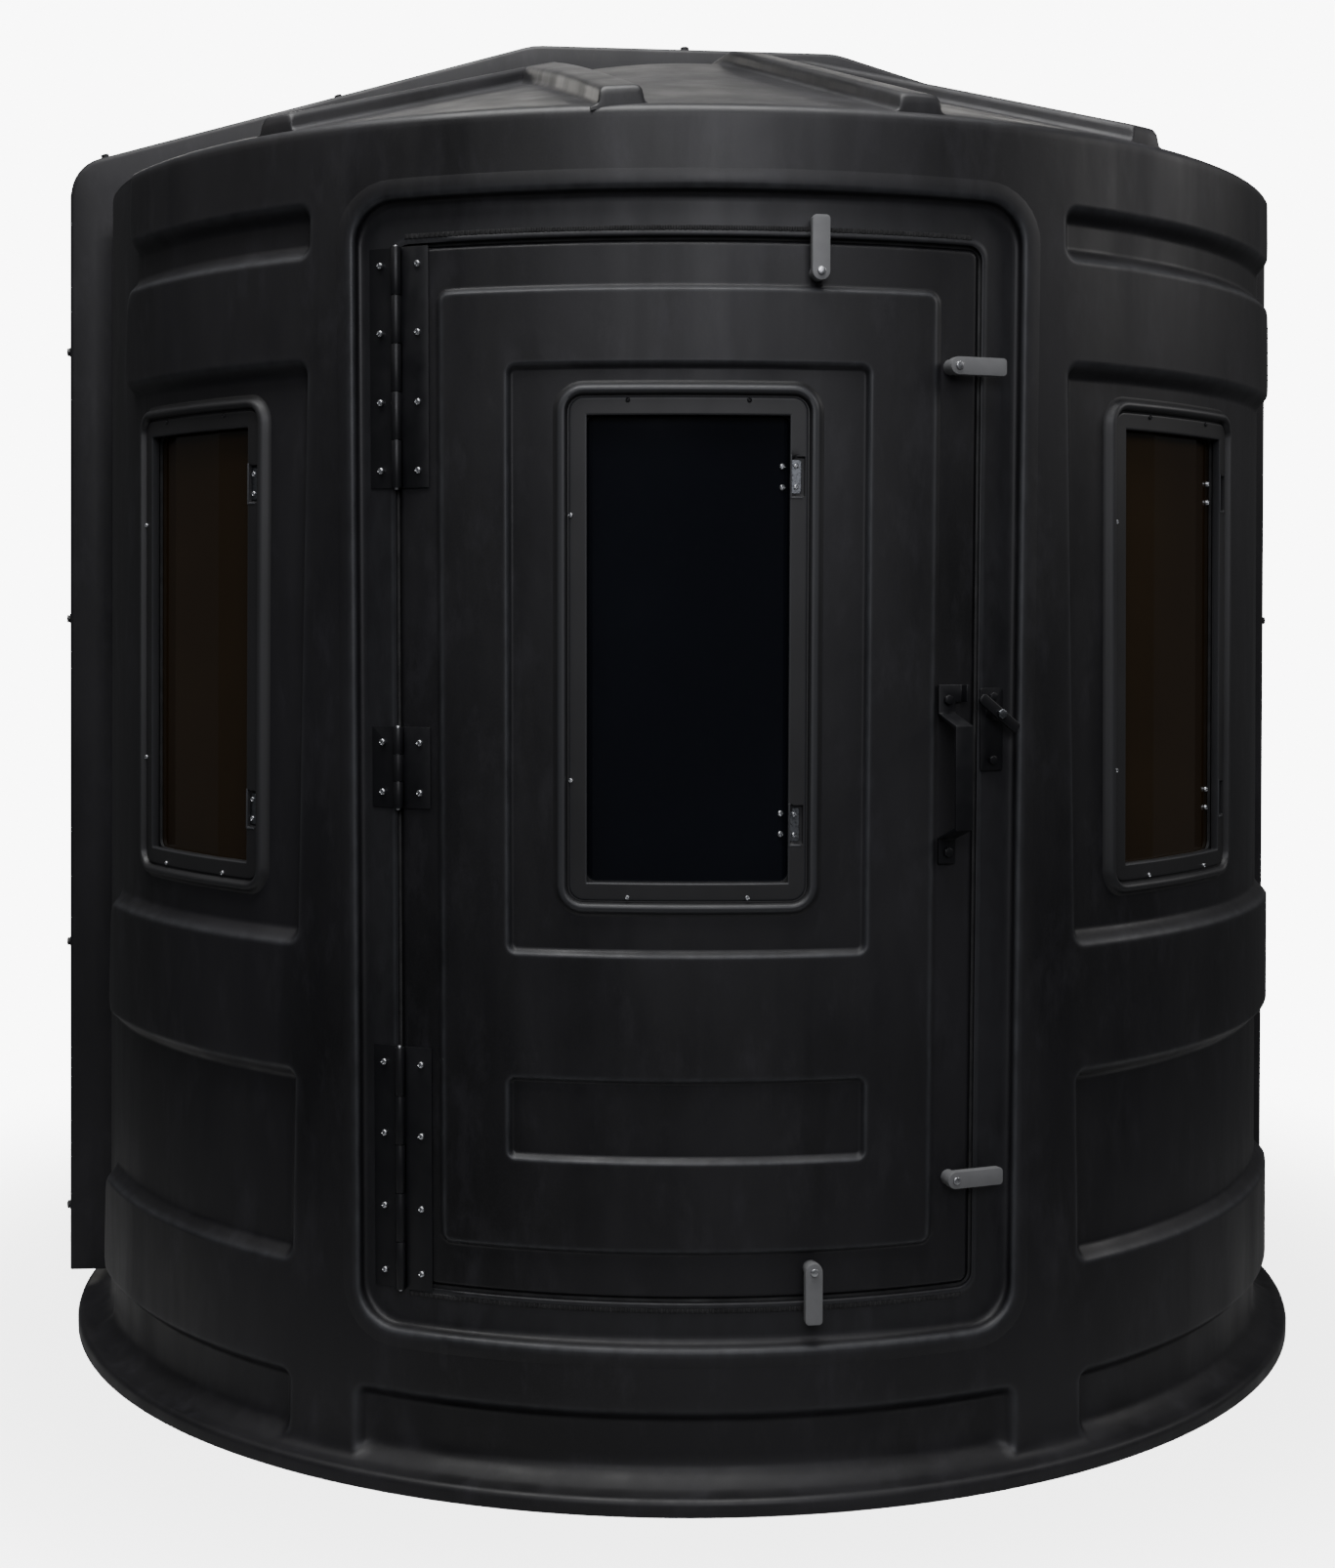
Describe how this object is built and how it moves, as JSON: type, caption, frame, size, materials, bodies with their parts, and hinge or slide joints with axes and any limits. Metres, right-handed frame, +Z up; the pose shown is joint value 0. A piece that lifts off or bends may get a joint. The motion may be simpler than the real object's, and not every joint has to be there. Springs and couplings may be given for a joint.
{
  "type": "round hard-shell field blind",
  "caption": "Upright round field blind of black moulded plastic with a ribbed roof, a curved hinged door, turn handles, a latch and inward-opening tinted windows.",
  "frame": {"origin": "centre of the base, on the ground", "axes": "+Z up, the door faces -Y, the door's hinges on the -X side"},
  "size_m": [2.017, 1.98, 2.034],
  "materials": {
    "shell": "satin black moulded polyethylene",
    "floor": "textured",
    "rubber": "matt",
    "black_steel": "satin powder coat",
    "zinc": "bright zinc",
    "door_glass": "dark tinted, gloss",
    "side_glass": "brown tinted, gloss",
    "grey_plastic": "satin"
  },
  "bodies": {
    "shell": {"front_shell": "shell", "rear_shell": "shell", "floor_panel": "floor", "door_gasket": "rubber", "door_hinge_lower_frame_leaf": "black_steel", "door_hinge_lower_pin": "zinc", "door_hinge_middle_frame_leaf": "black_steel", "door_hinge_middle_pin": "zinc", "door_hinge_upper_frame_leaf": "black_steel", "door_hinge_upper_pin": "zinc", "latch_keeper": "black_steel", "latch_keeper_bolt_upper": "black_steel", "latch_keeper_bolt_lower": "black_steel", "latch_lever_bolt": "zinc", "left_window_seal": "rubber", "left_window_hinge_lower": "black_steel", "left_window_hinge_upper": "black_steel", "right_window_seal": "rubber", "right_window_hinge_lower": "black_steel", "right_window_hinge_upper": "black_steel", "rear_left_window_seal": "rubber", "rear_left_window_hinge_lower": "black_steel", "rear_left_window_hinge_upper": "black_steel", "rear_right_window_seal": "rubber", "rear_right_window_hinge_lower": "black_steel", "rear_right_window_hinge_upper": "black_steel"},
    "door": {"door_panel": "shell", "door_hinge_lower_door_leaf": "black_steel", "door_hinge_middle_door_leaf": "black_steel", "door_hinge_upper_door_leaf": "black_steel", "pull_handle": "black_steel", "pull_handle_bolt_upper": "black_steel", "pull_handle_bolt_lower": "black_steel", "door_window_seal": "rubber", "door_window_hinge_lower": "black_steel", "door_window_hinge_upper": "black_steel"},
    "latch_lever": {"latch_lever": "black_steel"},
    "turn_handle_top": {"turn_handle_top": "grey_plastic", "turn_handle_top_screw": "zinc"},
    "turn_handle_right_upper": {"turn_handle_right_upper": "grey_plastic", "turn_handle_right_upper_screw": "zinc"},
    "turn_handle_right_lower": {"turn_handle_right_lower": "grey_plastic", "turn_handle_right_lower_screw": "zinc"},
    "turn_handle_bottom": {"turn_handle_bottom": "grey_plastic", "turn_handle_bottom_screw": "zinc"},
    "door_window": {"door_window_pane": "door_glass", "door_window_catch": "black_steel"},
    "left_window": {"left_window_pane": "side_glass", "left_window_catch": "black_steel"},
    "right_window": {"right_window_pane": "side_glass", "right_window_catch": "black_steel"},
    "rear_left_window": {"rear_left_window_pane": "side_glass", "rear_left_window_catch": "black_steel"},
    "rear_right_window": {"rear_right_window_pane": "side_glass", "rear_right_window_catch": "black_steel"}
  },
  "joints": [
    {"name": "door_swing", "type": "hinge", "parent": "shell", "child": "door", "pos_m": [-0.369, -0.86698, 0.253], "axis": [0, -0.0214, -0.9998], "range_deg": [0, 115]},
    {"name": "turn_top", "type": "hinge", "parent": "door", "child": "turn_handle_top", "pos_m": [0.15788, -0.89539, 1.546], "axis": [0.1736, -0.9846, 0.0196], "range_deg": [0, 90]},
    {"name": "turn_right_upper", "type": "hinge", "parent": "door", "child": "turn_handle_right_upper", "pos_m": [0.32956, -0.84966, 1.437], "axis": [0.3616, -0.9321, 0.0196], "range_deg": [0, 90]},
    {"name": "turn_right_lower", "type": "hinge", "parent": "door", "child": "turn_handle_right_lower", "pos_m": [0.33688, -0.86854, 0.404], "axis": [0.3616, -0.9321, 0.0196], "range_deg": [0, 90]},
    {"name": "turn_bottom", "type": "hinge", "parent": "door", "child": "turn_handle_bottom", "pos_m": [0.15731, -0.92027, 0.3], "axis": [0.1685, -0.9855, 0.0196], "range_deg": [0, 90]},
    {"name": "latch_turn", "type": "hinge", "parent": "shell", "child": "latch_lever", "pos_m": [0.38876, -0.83369, 1.001], "axis": [0.4225, -0.9061, 0.0196], "range_deg": [0, 60]},
    {"name": "door_window_swing", "type": "hinge", "parent": "door", "child": "door_window", "pos_m": [0.142, -0.89105, 1.082], "axis": [0, -0.0198, -0.9998], "range_deg": [0, 90]},
    {"name": "left_window_swing", "type": "hinge", "parent": "shell", "child": "left_window", "pos_m": [-0.56102, -0.70668, 1.082], "axis": [-0.0146, -0.0134, -0.9998], "range_deg": [0, 90]},
    {"name": "right_window_swing", "type": "hinge", "parent": "shell", "child": "right_window", "pos_m": [0.75288, -0.49729, 1.082], "axis": [0.0146, -0.0134, -0.9998], "range_deg": [0, 90]},
    {"name": "rear_left_window_swing", "type": "hinge", "parent": "shell", "child": "rear_left_window", "pos_m": [-0.75288, 0.49729, 1.082], "axis": [-0.0146, 0.0134, -0.9998], "range_deg": [0, 90]},
    {"name": "rear_right_window_swing", "type": "hinge", "parent": "shell", "child": "rear_right_window", "pos_m": [0.56102, 0.70668, 1.082], "axis": [0.0146, 0.0134, -0.9998], "range_deg": [0, 90]}
  ]
}
